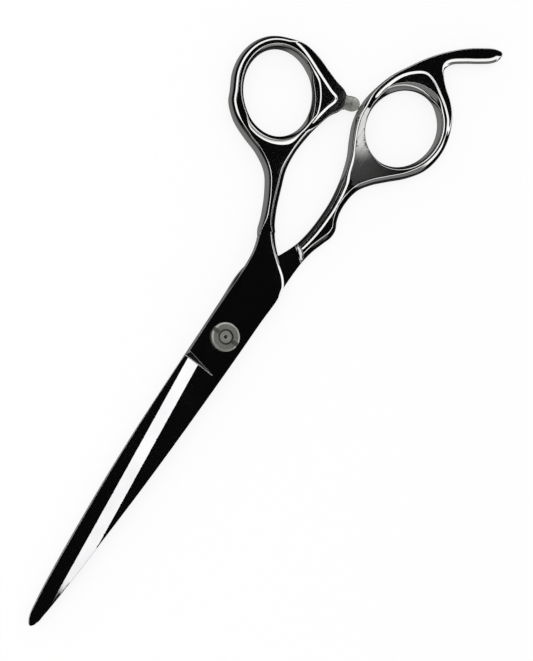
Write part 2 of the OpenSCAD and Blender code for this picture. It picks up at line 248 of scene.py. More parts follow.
def slopes(points, rims):
    """How far the surface has fallen at each point below its flat land, and that fall's gradient."""
    steepest = 400
    fall, grad = np.zeros(len(points)), np.zeros((len(points), 2))
    for rim in rims:
        d, way, wide, drop, power = rim.near(points)
        q = np.clip(1 - d / wide, 0, 1)
        rest = np.maximum(1 - q ** power, 1e-9)
        fall += drop * (1 - rest ** (1 / power))
        rate = drop * rest ** (1 / power - 1) * np.where(q > 0, q ** (power - 1), 0) / wide
        grad -= np.where(q > 0, np.minimum(rate, steepest), 0)[:, None] * way
    return fall, grad


# Where the rows of points lie across a slope, as shares of its width from the rim inward
ROWS = [0.0, 0.015, 0.04, 0.09, 0.16, 0.25, 0.35, 0.45, 0.55, 0.64, 0.72, 0.79, 0.85, 0.9, 0.94,
        0.972, 1.0]
# Rows closer together than this are skipped; points closer than CELL are merged
ROW_GAP = 0.022
CELL = 0.008


def fill(loop, holes, rims, spacing, extra=()):
    """Points and triangles that fill a region, with rows of points that follow each rim's slope."""
    lines = [loop] + list(holes)
    pts = [loop] + list(holes)
    for rim in rims:
        last = np.zeros(len(rim.p))
        for u in ROWS[1:]:
            take = (rim.wide * (u - last) >= ROW_GAP) | (u == 1.0)
            c = (rim.p + rim.n * (rim.wide * u)[:, None])[take]
            last = np.where(take, u, last)
            d = rim.near(c)[0]
            pts.append(c[d > rim.wide[take] * u * 0.985 - 0.003])
    pts += list(extra)
    lo, hi = loop.min(0), loop.max(0)
    gx, gy = np.meshgrid(np.arange(lo[0], hi[0], spacing), np.arange(lo[1], hi[1], spacing * 0.87))
    gx = gx + (np.arange(gx.shape[0]) % 2)[:, None] * spacing / 2
    grid = np.stack([gx.ravel(), gy.ravel()], 1)
    free = inside(grid, loop)
    for rim in rims:
        d, _, wide, _, _ = rim.near(grid)
        free &= d > wide + spacing * 0.35
    pts.append(grid[free])
    inner = np.concatenate(pts[len(lines):])
    keep = inside(inner, loop)
    for h in holes:
        keep &= ~inside(inner, h)
    for line in lines:
        keep &= Rim(line, 1, 1, 1).near(inner)[0] > CELL / 2
    inner = inner[keep]
    cell = np.round(inner / CELL).astype(np.int64)
    _, first = np.unique(cell, axis=0, return_index=True)
    inner = inner[np.sort(first)]
    edges, base, verts = [], 0, []
    for line in lines:
        m = len(line)
        edges += [(base + i, base + (i + 1) % m) for i in range(m)]
        verts += line.tolist()
        base += m
    verts += inner.tolist()
    v, _, f, _, _, _ = delaunay_2d_cdt([Vector(p) for p in verts], edges, [], 0, 1e-6)
    v = np.array([(p.x, p.y) for p in v])
    f = np.array([t for t in f if len(t) == 3])
    c = v[f].mean(1)
    ok = inside(c, loop)
    for h in holes:
        ok &= ~inside(c, h)
    f = f[ok]
    a, b, c = v[f[:, 0]], v[f[:, 1]], v[f[:, 2]]
    area = (b[:, 0] - a[:, 0]) * (c[:, 1] - a[:, 1]) - (b[:, 1] - a[:, 1]) * (c[:, 0] - a[:, 0])
    f[area < 0] = f[area < 0][:, ::-1]
    return v, f[np.abs(area) > 1e-9]


class Body:
    """Vertices, normals and faces of one piece, in mm."""

    def __init__(self):
        self.v, self.n, self.f, self.count = [], [], [], 0

    def add(self, v, n, f):
        self.v.append(np.asarray(v, float))
        self.n.append(np.asarray(n, float))
        self.f += [tuple(int(i) + self.count for i in t) for t in f]
        self.count += len(v)

    def sheet(self, v, f, z, grad, up):
        """A surface z over the plane; grad is its gradient and up its side."""
        n = np.concatenate([-grad, np.ones((len(v), 1))], 1) * up
        n /= np.linalg.norm(n, axis=1)[:, None]
        self.add(np.column_stack([v, z]), n, f if up > 0 else f[:, ::-1])

    def wall(self, line, z0, z1, normal, closed=True):
        """An upright strip along a line from z0 to z1; normal is per point and horizontal."""
        m = len(line)
        n = np.column_stack([normal, np.zeros(m)])
        v = np.concatenate([np.column_stack([line, z0]), np.column_stack([line, z1])])
        a = np.arange(m if closed else m - 1)
        b = (a + 1) % m
        ok = np.maximum(np.abs(z1 - z0)[a], np.abs(z1 - z0)[b]) > 1e-4
        a, b = a[ok], b[ok]
        q = np.stack([a, b, b + m, a + m], 1)
        p = v[q[:, 0]]
        facing = np.cross(v[q[:, 1]] - p, v[q[:, 2]] - p)
        flip = (facing * n[q[:, 0]]).sum(1) < 0
        q[flip] = q[flip][:, ::-1]
        self.add(v, np.concatenate([n, n]), q)

    def lathe(self, profile, steps=96):
        """A surface of flat or conical bands turned about the pivot; the solid lies to the left."""
        ang = np.arange(steps) * 2 * math.pi / steps
        for (r0, z0), (r1, z1) in zip(profile[:-1], profile[1:]):
            t = np.array([r1 - r0, z1 - z0], float)
            t /= np.linalg.norm(t)
            nr, nz = t[1], -t[0]
            low, high, n = (np.column_stack([r * np.cos(ang), r * np.sin(ang), np.full(steps, z)])
                            for r, z in ((r0, z0), (r1, z1), (nr, nz)))
            i = np.arange(steps)
            j = (i + 1) % steps
            self.add(np.concatenate([low, high]), np.concatenate([n, n]),
                     np.stack([i, j, j + steps, i + steps], 1))

    def make(self, name, material, body, replaces):
        """The finished object, kept inside the CAD box and carried by its body."""
        v, n = np.concatenate(self.v), np.concatenate(self.n)
        lo, hi = np.array(cad_bounds[0]) / MM, np.array(cad_bounds[1]) / MM
        margin = 0.001
        v = np.clip(v, lo + margin, hi - margin)
        me = bpy.data.meshes.new(name)
        me.from_pydata((v * MM).tolist(), [], self.f)
        me.shade_smooth()
        me.normals_split_custom_set_from_vertices(n.tolist())
        o = bpy.data.objects.new(name, me)
        bpy.context.scene.collection.objects.link(o)
        me.materials.append(material)
        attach(o, body)
        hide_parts(replaces)
        return o


# ---------------------------------------------------------------- materials
def nodes_of(name):
    """A new material with its node tree and its principled shader."""
    m = bpy.data.materials.new(name)
    m.use_nodes = True
    t = m.node_tree
    t.nodes.clear()
    out = t.nodes.new("ShaderNodeOutputMaterial")
    p = t.nodes.new("ShaderNodeBsdfPrincipled")
    t.links.new(p.outputs[0], out.inputs[0])
    return m, t, p


def coords(t, scale, turn=0.0):
    """Object coordinates, scaled and turned about +Z."""
    c = t.nodes.new("ShaderNodeTexCoord")
    mp = t.nodes.new("ShaderNodeMapping")
    mp.inputs["Scale"].default_value = scale
    mp.inputs["Rotation"].default_value = (0, 0, turn)
    t.links.new(c.outputs["Object"], mp.inputs["Vector"])
    return mp.outputs["Vector"]


def noise(t, vec, scale, detail=3.0, rough=0.55):
    n = t.nodes.new("ShaderNodeTexNoise")
    n.inputs["Scale"].default_value = scale
    n.inputs["Detail"].default_value = detail
    n.inputs["Roughness"].default_value = rough
    t.links.new(vec, n.inputs["Vector"])
    return n.outputs["Fac"]


def ranged(t, value, a, b, lo, hi, kind="LINEAR"):
    """Maps a to lo and b to hi, and holds lo and hi outside them."""
    r = t.nodes.new("ShaderNodeMapRange")
    r.interpolation_type = kind
    for k, v in zip(("From Min", "From Max", "To Min", "To Max"), (a, b, lo, hi)):
        r.inputs[k].default_value = v
    t.links.new(value, r.inputs["Value"])
    return r.outputs["Result"]


def calc(t, op, a, b=None):
    n = t.nodes.new("ShaderNodeMath")
    n.operation = op
    for i, x in enumerate((a, b)):
        if x is None:
            continue
        if isinstance(x, (int, float)):
            n.inputs[i].default_value = x
        else:
            t.links.new(x, n.inputs[i])
    return n.outputs[0]


def tint(t, fac, dark, light):
    r = t.nodes.new("ShaderNodeMix")
    r.data_type = "RGBA"
    r.inputs["A"].default_value = (*dark, 1)
    r.inputs["B"].default_value = (*light, 1)
    t.links.new(fac, r.inputs["Factor"])
    return r.outputs["Result"]


def shaded(t, colour, share):
    """The colour times a share of 0 to 1."""
    r = t.nodes.new("ShaderNodeMix")
    r.data_type = "RGBA"
    r.blend_type = "MULTIPLY"
    r.inputs["Factor"].default_value = 1.0
    t.links.new(colour, r.inputs["A"])
    t.links.new(share, r.inputs["B"])
    return r.outputs["Result"]


def axis_coords(t):
    """Distance from the pivot axis, and height."""
    c = t.nodes.new("ShaderNodeTexCoord")
    s = t.nodes.new("ShaderNodeSeparateXYZ")
    t.links.new(c.outputs["Object"], s.inputs[0])
    x, y, z = s.outputs
    return calc(t, "SQRT", calc(t, "ADD", calc(t, "MULTIPLY", x, x), calc(t, "MULTIPLY", y, y))), z


def bump(t, p, height, strength, distance):
    """Fine relief on the principled shader p."""
    b = t.nodes.new("ShaderNodeBump")
    b.inputs["Strength"].default_value = strength
    b.inputs["Distance"].default_value = distance
    t.links.new(height, b.inputs["Height"])
    t.links.new(b.outputs[0], p.inputs["Normal"])


def polished(name, dark, light, rough, grain, turn=0.0, strength=0.03, smudge=0.02):
    """Mirror-polished steel: fine directional polishing grain, faint smudges and small scratches."""
    m, t, p = nodes_of(name)
    p.inputs["Metallic"].default_value = 1.0
    clouds = noise(t, coords(t, (1, 1, 1)), 90, 4)
    lines = noise(t, coords(t, (60, 1600, 1600), turn), 1.0, 3, 0.6)
    scratch = noise(t, coords(t, (400, 9000, 9000), turn + 0.5), 1.0, 1, 0.5)
    t.links.new(tint(t, ranged(t, clouds, 0.35, 0.7, 0, 1), dark, light), p.inputs["Base Color"])
    base = ranged(t, clouds, 0.45, 0.75, rough, rough + smudge, "SMOOTHSTEP")
    fine = ranged(t, lines, 0.4, 0.7, -grain, grain)
    worn = ranged(t, scratch, 0.68, 0.8, 0, 0.03, "SMOOTHSTEP")
    total = calc(t, "ADD", calc(t, "ADD", base, fine), worn)
    t.links.new(calc(t, "MAXIMUM", total, 0.02), p.inputs["Roughness"])
    relief = calc(t, "ADD", calc(t, "MULTIPLY", lines, 0.6), calc(t, "MULTIPLY", scratch, 0.4))
    bump(t, p, relief, strength, 0.000002)
    return m


def paint_recess_shade(t, colour, z_dark, z_light, amount, bore):
    """Painted shade in recesses: the colour is darker below a height and next to the bore."""
    radius, height = axis_coords(t)
    low = ranged(t, height, z_dark * MM, z_light * MM, amount, 1, "SMOOTHSTEP")
    near = ranged(t, radius, (bore + 0.12) * MM, (bore + 0.35) * MM, amount, 1, "SMOOTHSTEP")
    return shaded(t, colour, calc(t, "MULTIPLY", low, near))


def satin(name, dark, light, rough, metal, scale=2600.0, strength=0.35, shade_in_recesses=None):
    """Blasted or cast metal: a fine even grain, and painted shade in the recesses when asked for."""
    m, t, p = nodes_of(name)
    p.inputs["Metallic"].default_value = metal
    vec = coords(t, (1, 1, 1))
    grains = noise(t, vec, scale, 4, 0.65)
    wide = noise(t, vec, 260, 3)
    both = calc(t, "ADD", calc(t, "MULTIPLY", grains, 0.6), calc(t, "MULTIPLY", wide, 0.4))
    colour = tint(t, ranged(t, both, 0.35, 0.68, 0, 1), dark, light)
    # Painted shade: the colour is darkened in the recesses
    if shade_in_recesses:
        colour = paint_recess_shade(t, colour, *shade_in_recesses)
    t.links.new(colour, p.inputs["Base Color"])
    t.links.new(ranged(t, wide, 0.3, 0.7, rough - 0.06, rough + 0.08), p.inputs["Roughness"])
    bump(t, p, grains, strength, 0.00003)
    return m


def turned(name, dark, light, rough, rings=9000.0, metal=1.0, dimple_shade_radius=0.0):
    """Lathe-turned metal: fine concentric tool marks, and painted shade in the end's dimple, of that
    radius in mm.
    """
    m, t, p = nodes_of(name)
    p.inputs["Metallic"].default_value = metal
    r, z = axis_coords(t)
    w = calc(t, "SINE", calc(t, "MULTIPLY", calc(t, "ADD", r, z), rings * 6.283))
    clouds = noise(t, coords(t, (1, 1, 1)), 500, 4)
    share = ranged(t, clouds, 0.3, 0.7, 0, 1)
    # Painted shade in the end's dimple: the colour is darker inside that radius
    if dimple_shade_radius:
        rim = (dimple_shade_radius * 0.8 * MM, dimple_shade_radius * 1.1 * MM)
        share = calc(t, "MULTIPLY", share, ranged(t, r, *rim, 0, 1))
        colour = shaded(t, tint(t, share, dark, light), ranged(t, r, *rim, 0.25, 1))
    else:
        colour = tint(t, share, dark, light)
    t.links.new(colour, p.inputs["Base Color"])
    t.links.new(ranged(t, clouds, 0.3, 0.7, rough - 0.04, rough + 0.07), p.inputs["Roughness"])
    bump(t, p, w, 0.08, 0.000008)
    return m


def plastic(name, dark, light, rough, clear=0.0):
    """Moulded polymer or rubber: slightly mottled, soft sheen, faint moulding texture."""
    m, t, p = nodes_of(name)
    vec = coords(t, (1, 1, 1))
    clouds = noise(t, vec, 420, 4)
    skin = noise(t, vec, 3800, 3)
    t.links.new(tint(t, ranged(t, clouds, 0.3, 0.7, 0, 1), dark, light), p.inputs["Base Color"])
    t.links.new(ranged(t, skin, 0.3, 0.7, rough - 0.05, rough + 0.08), p.inputs["Roughness"])
    p.inputs["Transmission Weight"].default_value = clear
    p.inputs["IOR"].default_value = 1.45
    bump(t, p, skin, 0.15, 0.00002)
    return m


grip_mat = polished("cast_steel_polished", (0.70, 0.70, 0.69), (0.80, 0.80, 0.79), 0.035, 0.01)
blade_mat = polished("blade_steel_polished", (0.68, 0.68, 0.69), (0.78, 0.78, 0.79), 0.03, 0.006,
                     math.radians(90))
# The nut gets painted shade below its top face and next to its bore
nut_mat = satin("nut_satin_steel", (0.34, 0.34, 0.31), (0.62, 0.62, 0.575), 0.36, 0.75,
                shade_in_recesses=(5.72, 6.1, 0.12, 1.78))
# The bolt's end dimple gets painted shade
bolt_mat = turned("bolt_turned_steel", (0.30, 0.30, 0.28), (0.50, 0.50, 0.47), 0.42, metal=0.6,
                  dimple_shade_radius=0.55)
screw_mat = turned("screw_turned_steel", (0.16, 0.16, 0.16), (0.28, 0.28, 0.28), 0.3)
spring_mat = satin("spring_steel", (0.18, 0.19, 0.22), (0.34, 0.35, 0.38), 0.34, 1.0, 1800, 0.2)
bronze_mat = turned("bronze_turned", (0.50, 0.32, 0.15), (0.72, 0.50, 0.26), 0.3)
polymer_mat = plastic("polymer_natural", (0.74, 0.73, 0.68), (0.86, 0.85, 0.81), 0.42)
bumper_mat = plastic("bumper_rubber_clear", (0.20, 0.21, 0.18), (0.52, 0.53, 0.48), 0.1, 0.5)


# ---------------------------------------------------------------- grips
def grip_share(x):
    """0 on the flat pivot area, 1 on the grips."""
    return smooth(-x, 20.0, 44.0)


def band_at(x, lo, hi, soft_by):
    """1 between lo and hi, fading to 0 over soft_by on both sides."""
    return smooth(x, lo - soft_by, lo) * (1 - smooth(x, hi, hi + soft_by))


def turn_share(p, hole, lo, hi, soft_by):
    """1 for points seen from a hole's centre between two angles in degrees from +X, fading outside."""
    a = np.degrees(np.arctan2(p[:, 1] - hole[0][1], p[:, 0] - hole[0][0]))
    off = np.abs((a - (lo + hi) / 2 + 180) % 360 - 180) - (hi - lo) / 2
    return 1 - smooth(off, 0, soft_by)


class Step:
    """A soft step down along a closed line: the surface outside the line is lower by depth."""

    def __init__(self, points, depth, width, mask):
        self.loop = smooth_loop(points, STEP)
        self.rim = Rim(self.loop, 1, 1, 1)
        self.depth, self.width, self.mask = depth, width, mask

    def fall(self, p):
        out = np.zeros(len(p))
        m = self.mask(p)
        on = m > 0
        if on.any():
            q = p[on]
            d = self.rim.near(q)[0] * np.where(inside(q, self.loop), -1, 1)
            out[on] = self.depth * m[on] * smooth(d, -self.width / 2, self.width / 2)
        return out


def gradient(f, p):
    """Gradient of f at the points p, by differences."""
    return np.stack([(f(p + way) - f(p - way)) / (2 * NUDGE) for way in ([NUDGE, 0], [0, NUDGE])], 1)


def thumb_boss_share(p):
    """1 round the thumb ring where the boss stands out from it."""
    away = 1 - turn_share(p, THUMB_HOLE, -130, 40, 20)
    return smooth(p[:, 1], -30.5, -26) * smooth(-p[:, 0], 57, 62) * away


thumb_step = Step([(-72.5, -33.5), (-74.6, -30.3), (-75.5, -27.5), (-75.1, -24.6), (-72.4, -17.4),
                   (-70.7, -12.9), (-70.1, -10.9), (-69.0, -10.6), (-66.4, -11.3), (-62, -12.1),
                   (-58.2, -12.6), (-54, -13.2), (-56, -20), (-66, -30)],
                  0.72, 1.35, thumb_boss_share)


def spine_line(x):
    """Middle of the thumb shank."""
    return np.interp(x, [-56, -46, -40, -33, -27, -22], [-20, -15.5, -11.5, -8, -5, -3])


def thumb_wide(p):
    x, y = p[:, 0], p[:, 1]
    w = mix(0.5, 1.7, grip_share(x))
    w = mix(w, 1.3, band_at(x, -46, -33, 5) * (y < spine_line(x)))
    w = mix(w, 0.45, thumb_boss_share(p))
    w = mix(w, mix(1.9, 0.7, smooth(x, -34, -17)), smooth(x, -52, -44) * (y > spine_line(x)))
    left = smooth(x, -33, -27) * (y < -4)
    return mix(w, 0.06, left)


def thumb_drop(p):
    x, y = p[:, 0], p[:, 1]
    d = mix(0.30, MID, smooth(-x, 16.0, 36.0))
    d = mix(d, mix(MID, 0.5, smooth(x, -35, -18)), smooth(x, -38, -33) * (y > spine_line(x)))
    d = mix(d, 0.01, smooth(x, -33, -27) * (y < -4)) * mix(1, 0.1, smooth(x, -19, -14))
    return d - thumb_step.fall(p)


def thumb_power(p):
    x, y = p[:, 0], p[:, 1]
    w = mix(1.15, 1.5, grip_share(x))
    w = mix(w, 1.3, band_at(x, -46, -33, 5) * (y < spine_line(x)))
    w = mix(w, 1.2, smooth(x, -52, -44) * (y > spine_line(x)))
    return mix(w, 3.0, thumb_boss_share(p))


def thumb_hole_wide(p):
    low = turn_share(p, THUMB_HOLE, 0, 42, 22)
    side = turn_share(p, THUMB_HOLE, 92, 140, 25)
    return mix(mix(1.3, 2.7, low), 1.95, side)


def thumb_hole_power(p):
    low = turn_share(p, THUMB_HOLE, 0, 42, 22)
    side = turn_share(p, THUMB_HOLE, 92, 140, 25)
    return mix(mix(1.5, 1.2, low), 1.12, side)


def rest_root_share(p):
    """1 where the finger rest grows out of the ring."""
    return np.where(p[:, 1] > 9, smooth(-p[:, 0], 76, 83), smooth(-p[:, 0], 73, 79))


finger_step = Step([(-71.5, -2.1), (-78.2, -1.9), (-85.1, 0.1), (-88.6, 2.6), (-90.7, 5.6),
                    (-90.4, 8.2), (-88.5, 11.8), (-85.9, 15.6), (-83.0, 18.2), (-76, 20), (-66, 14),
                    (-62, 6), (-65, 0)],
                   0.68, 1.2, rest_root_share)


def rest_upper(p):
    """1 on the upper side of the finger rest and of the ring before it."""
    across = (p - [-101, 12.5]) @ np.array([0.79, 0.61])
    return np.maximum(1 - smooth(across, -0.6, 0.6), 1 - smooth(p[:, 1], 5, 7))


def rest_low_share(p):
    """1 along the underside of the finger rest."""
    return smooth(-p[:, 0], 92.5, 98) * (1 - rest_upper(p))


def rest_high_share(p):
    """1 along the upper side of the finger rest, up to the ring."""
    x, y = p[:, 0], p[:, 1]
    return smooth(-x, 73, 80) * rest_upper(p) * (y < 21) * np.where(y > 9, x < -95, 1)


def finger_wide(p):
    x, y = p[:, 0], p[:, 1]
    w = mix(0.38, 1.6, grip_share(x))
    w = mix(w, 2.0, band_at(x, -52, -29, 4) * (y < 5.3))
    w = mix(w, 1.75, band_at(x, -49, -30, 3) * (y > 5.3))
    w = mix(w, 1.3, band_at(x, -74, -62, 4) * (y < 3))
    right = smooth(y, 12, 17) * smooth(-x, 60, 70)
    w = mix(w, 1.9, right * (x > -89))
    w = mix(w, 0.5, smooth(-x, 79, 89) * (y > 8) * (1 - rest_low_share(p)))
    return mix(mix(w, 0.5, rest_high_share(p)), 2.8, rest_low_share(p))


def finger_drop(p):
    x = p[:, 0]
    d = mix(0.30, MID, smooth(-x, 22.0, 29.5)) * mix(1, 0.3, smooth(x, -16, -10))
    return d - finger_step.fall(p)


def finger_power(p):
    x, y = p[:, 0], p[:, 1]
    w = mix(1.15, 1.5, grip_share(x))
    w = mix(w, 1.14, band_at(x, -52, -29, 4))
    right = smooth(y, 12, 17) * smooth(-x, 60, 70)
    w = mix(w, 1.3, right * (x > -89))
    w = mix(w, 3.0, smooth(-x, 79, 89) * (y > 8) * (1 - rest_low_share(p)))
    return mix(mix(w, 3.0, rest_high_share(p)), 1.25, rest_low_share(p))


def finger_hole_wide(p):
    left = turn_share(p, FINGER_HOLE, 170, 235, 25)
    low = turn_share(p, FINGER_HOLE, -75, -15, 20)
    return mix(mix(1.2, 1.9, left), 0.8, low)


def finger_hole_power(p):
    return mix(1.5, 1.15, turn_share(p, FINGER_HOLE, 170, 235, 25))


def on_line(points, origin, normal):
    """True for the points that lie on a line."""
    return np.abs((points - origin) @ normal) < 1e-6


def grip(name, side, loop, hole, outer_shape, inner_shape, step, reach, body, replaces):
    """A grip with its ring: two faces that slope to every edge and meet in walls at mid height.

    A shape is the width and power of the slope, with its drop between them for the outer edge.
    reach is the width of the slope that leads up to the blade's shoulder.
    """
    origin, normal = WELD[side][0], weld_normal(side)
    region = clip(loop, origin, normal)
    if side < 0:
        region = clip(region, SEAT, SEAT_DIR)
    region = densify(region, STEP * 1.3)
    ring = ellipse(hole, 0, -np.arange(230) * 2 * math.pi / 230)
    outer = Rim(loop, *outer_shape)
    inner = Rim(ring, inner_shape[0], MID, inner_shape[1], outward=True)
    across = np.array([-normal[1], normal[0]])
    line = np.array([origin + across * t for t in np.arange(-14, 14.1, 0.3)])
    shoulder = Rim(np.concatenate([line, line[::-1] + normal * 6]), reach, MID, 1.25)
    shoulder.n[:] = -normal
    rows = [step.loop + step.rim.n * step.width * u for u in np.linspace(-0.5, 0.5, 11)]
    shoulder_rows = [line - normal * reach * u for u in ROWS[1:]]
    b = Body()
    for up in (1, -1):
        flush = (up < 0) == (side > 0)
        rims = [outer, inner] + ([] if flush else [shoulder])
        v, f = fill(region, [ring], [outer, inner], 0.9, rows + ([] if flush else shoulder_rows))
        fall, grad = slopes(v, rims)
        height = np.maximum(MID - fall - step.fall(v), 0.0)
        b.sheet(v, f, MID + up * height, up * -(grad + gradient(step.fall, v)), up)
        at = np.maximum(MID - slopes(region, rims)[0] - step.fall(region), 0)
        face = -outer.near(region)[1]
        face[on_line(region, origin, normal)] = normal
        if side < 0:
            face[on_line(region, SEAT, SEAT_DIR)] = SEAT_DIR
        b.wall(region, np.full(len(region), MID), MID + up * at, face)
    b.make(name, grip_mat, body, replaces)


grip("thumb_grip", -1, thumb_loop, THUMB_HOLE, (thumb_wide, thumb_drop, thumb_power),
     (thumb_hole_wide, thumb_hole_power), thumb_step, 2.4, "thumb_half", "thumb_handle")
grip("finger_grip", 1, finger_loop, FINGER_HOLE, (finger_wide, finger_drop, finger_power),
     (finger_hole_wide, finger_hole_power), finger_step, 0.75, "finger_half", "finger_handle")

# ---------------------------------------------------------------- blades
# The grind starts at a plunge step, slanted across the blade, whose middle crosses y = 0 here
PLUNGE_X, PLUNGE_SLANT = 9.4, 0.222
# Last x of the grind, and the two long ridges between its facets: y at RIDGE_X, and slope
GRIND_END = 88
RIDGE_X = 10.7
RIDGES = ((-4.6, 0.083), (-1.6, 0.0853))
THINNEST = 0.06


def at_x(points, x):
    """Height of a line of points at x."""
    p = np.array(sorted(points))
    return np.interp(x, p[:, 0], p[:, 1])


def soft(u, eps):
    """A ramp with a rounded corner."""
    return (u + np.sqrt(u * u + eps * eps)) / 2


def ground(p, edge):
    """Height of the outer face above the mating face, cutting edge towards -Y.

    Three long facets, and a plunge step up to the full thickness.
    """
    x, y = p[:, 0], p[:, 1]
    edge_y = at_x(edge, np.clip(x, 0, GRIND_END))
    ridge_a, ridge_b = (c + k * (x - RIDGE_X) - edge_y for c, k in RIDGES)
    slope_a, slope_b = 0.37, 0.295
    slope_c = mix(0.25, 0.15, smooth(x, 9, 40))
    t = y - edge_y
    z = EDGE_T + slope_a * t + (slope_b - slope_a) * soft(t - ridge_a, 0.06)
    z = z + (slope_c - slope_b) * soft(t - ridge_b, 0.06)
    step = BLADE - 2.1 * (x - (PLUNGE_X + PLUNGE_SLANT * y)) * 0.976
    z = z + soft(step - z, 0.16)
    return BLADE - soft(BLADE - z, 0.05)


def circle(r):
    """A hole's outline about the pivot."""
    a = -np.arange(96) * math.pi / 48
    return np.stack([r * np.cos(a), r * np.sin(a)], 1)


def blade(name, side, loop, edge, rim_wide, rim_drop, bores, profile, body, replaces):
    """Built with its mating face at z = 0 and its cutting edge towards -Y, then put in place.

    bores are the hole's radii in the outer and in the mating face, profile its section.
    """
    origin, normal = WELD[side][0].copy(), weld_normal(side).copy()
    if side > 0:
        loop, edge = (loop * [1, -1])[::-1], [[q[0], -q[1]] for q in edge]
        origin[1] *= -1
        normal[1] *= -1
    region = densify(clip(loop, origin, -normal), STEP * 1.3)

    def sharp(p):
        """1 where the outline is a plain edge: along the cutting edge, and past the pivot."""
        x, y = p[:, 0], p[:, 1]
        cutting = smooth(x, 6, 11) * (y < at_x(edge, np.clip(x, 0, GRIND_END)) * 0.5 + 0.3 * (x > 80))
        return np.maximum(cutting > 0.5, smooth(x, -8, 6))

    def turned_back(p):
        """The points on the side of the pivot where the rim's shape is described."""
        return p if side < 0 else p * [1, -1]

    outer = Rim(loop, lambda p: mix(rim_wide(turned_back(p)), 0.06, sharp(p)),
                lambda p: mix(rim_drop(turned_back(p)), 0.01, sharp(p)),
                lambda p: mix(1.15, 1.5, grip_share(p[:, 0])))
    ys = np.arange(-7, 7, 0.25)
    extra = [np.stack([PLUNGE_X + PLUNGE_SLANT * ys + o, ys], 1) for o in
             (-0.25, -0.12, -0.05, 0, 0.03, 0.07, 0.12, 0.2, 0.32, 0.45, 0.6, 0.75, 0.9, 1.05, 1.2, 1.4)]
    xs = np.arange(8, 88, 0.5)
    extra += [np.stack([xs, c + k * (xs - RIDGE_X) + o], 1) for c, k in RIDGES
              for o in (-0.3, -0.15, -0.08, -0.04, 0, 0.04, 0.08, 0.15, 0.3)]
    v, f = fill(region, [circle(bores[0])], [outer], 0.8, extra)

    def height(p):
        return np.maximum(ground(p, edge) - slopes(p, [outer])[0], THINNEST)

    b = Body()
    b.sheet(v, f, height(v), gradient(lambda p: ground(p, edge), v) - slopes(v, [outer])[1], 1)
    v, f = fill(region, [circle(bores[1])], [], 1.4)
    half_hollow = 4.5
    hollow = 0.1 * smooth(v[:, 0], 12, 20) * (1 - smooth(v[:, 0], 60, 84))
    bow = np.clip(1 - (v[:, 1] / half_hollow) ** 2, 0, 1)
    grad = np.stack([np.zeros(len(v)), -hollow * 2 * v[:, 1] / half_hollow ** 2 * (bow > 0)], 1)
    b.sheet(v, f, hollow * bow, grad, -1)
    face = -outer.near(region)[1]
    face[on_line(region, origin, normal)] = -normal
    b.wall(region, np.zeros(len(region)), height(region), face)
    b.lathe(profile)
    if side < 0:
        for v in b.v:
            v[:, 2] += FRONT
    else:
        for v, n in zip(b.v, b.n):
            v[:, 1] *= -1
            v[:, 2] = BLADE - v[:, 2]
            n[:, 1:] *= -1
    b.make(name, blade_mat, body, replaces)


# Bore profiles (radius, height) run downward, so that the metal is outside the hole
thumb_bore = [(3.45, 2.6), (3.45, 1.7), (2.76, 1.7), (2.76, 0.0)]
finger_bore = [(3.53, 2.6), (3.53, 1.6), (2.48, 1.6), (2.48, 0.28), (4.63, 0.28), (4.63, 0.0)]
blade("thumb_blade_ground", -1, thumb_loop, thumb_edge, thumb_wide, thumb_drop, (3.45, 2.76),
      thumb_bore, "thumb_half", "thumb_blade")
blade("finger_blade_ground", 1, finger_loop, finger_edge, finger_wide, finger_drop, (3.53, 4.63),
      finger_bore, "finger_half", "finger_blade")


# ---------------------------------------------------------------- bumper
def bumper_dome():
    """Soft dome with a waist and a small flange, turned about the boss axis."""
    z_axis = np.array([SEAT_DIR[0], SEAT_DIR[1], 0])
    x_axis = np.array([0, 0, 1.0])
    y_axis = np.cross(z_axis, x_axis)
    origin = np.array([SEAT[0], SEAT[1], MID])
    # Radius and height above the seat: the dome from its top down, then the waist, flange and bore
    profile = [(0.0, 4.60)]
    for a in np.radians(np.arange(84, -1, -6)):
        profile.append((2.02 * math.cos(a), 2.42 + 2.18 * math.sin(a)))
    profile += [(2.0, 1.6), (1.93, 1.2), (1.86, 0.95), (1.9, 0.75), (2.03, 0.6), (2.05, 0.4),
                (2.0, 0.1), (1.96, 0.02), (0.85, 0.02)]
    profile = np.array(profile)
    way = np.gradient(profile, axis=0)
    way /= np.linalg.norm(way, axis=1)[:, None]
    steps = 72
    v, n = [], []
    for (r, h), (way_r, way_h) in zip(profile, way):
        for a in np.arange(steps) * 2 * math.pi / steps:
            radial = math.cos(a) * x_axis + math.sin(a) * y_axis
            v.append(origin + radial * max(r, 0.002) + z_axis * h)
            n.append(z_axis * way_r - radial * way_h)
    v, n = np.array(v), np.array(n)
    f = []
    for k in range(len(profile) - 1):
        for i in range(steps):
            j = (i + 1) % steps
            f.append((k * steps + i, (k + 1) * steps + i, (k + 1) * steps + j, k * steps + j))
    p = v[list(f[0])]
    if np.dot(np.cross(p[1] - p[0], p[2] - p[0]), n[f[0][1]]) < 0:
        f = [t[::-1] for t in f]
    b = Body()
    b.add(v, n, f)
    b.make("bumper_dome", bumper_mat, "thumb_half", "bumper")


bumper_dome()

# ---------------------------------------------------------------- CAD nodes that are shown as they are
# Each node's material and the width of its softened edges, in mm
shown_nodes = {
    "tension_nut": (nut_mat, 0.16), "pivot_bolt": (bolt_mat, 0.06), "pivot_bushing": (polymer_mat, 0.04),
    "glide_washer": (polymer_mat, 0.03), "thrust_washer": (bronze_mat, 0.03),
    "wave_washer": (spring_mat, 0.0), "bumper_screw": (screw_mat, 0.05),
}
for name, (material, width) in shown_nodes.items():
    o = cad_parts[name]
    o.data.materials.clear()
    o.data.materials.append(material)
    if width:
        weld = o.modifiers.new("weld", "WELD")
        weld.merge_threshold = 0.001 * MM
        bevel = o.modifiers.new("edges", "BEVEL")
        bevel.width = width * MM
        bevel.segments = 2
        bevel.limit_method = "ANGLE"
        bevel.angle_limit = math.radians(25)
        bevel.harden_normals = False

